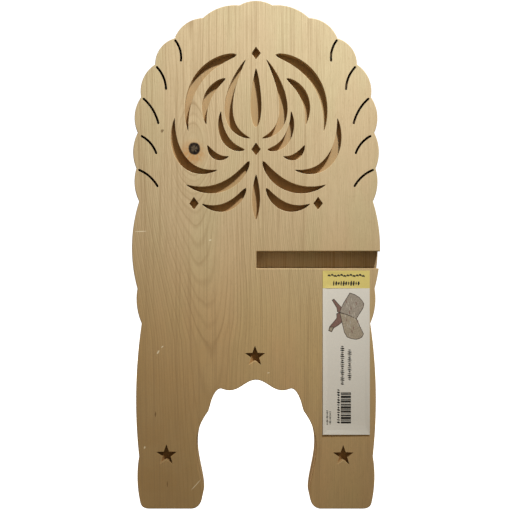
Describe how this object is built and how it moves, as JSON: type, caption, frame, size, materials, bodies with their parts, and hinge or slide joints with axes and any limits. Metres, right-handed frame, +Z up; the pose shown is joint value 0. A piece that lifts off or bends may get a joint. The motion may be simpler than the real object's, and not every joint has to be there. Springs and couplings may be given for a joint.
{
  "type": "cross-lap book stand",
  "caption": "Flat-packed folding book stand of matching carved wooden boards with scalloped tops, arched feet and half-lap slots that push together into an X.",
  "frame": {"origin": "on the surface that the feet stand on, under the middle of the stacked boards", "axes": "+Z up from the feet to the scalloped crown, +X to the right as the carved face is looked at, -Y out of the front board's carved face"},
  "size_m": [0.2198, 0.025, 0.45],
  "materials": {
    "maple": "bare sanded maple, satin",
    "label_paper": "printed paper, satin"
  },
  "bodies": {
    "front_board": {"front_board": "maple", "paper_label": "label_paper"},
    "back_board": {"back_board": "maple"}
  },
  "joints": [
    {"name": "back_board_lift_off", "type": "slide", "parent": "front_board", "child": "back_board", "axis": [0, 1, 0], "range_m": [0, 0.15]}
  ]
}
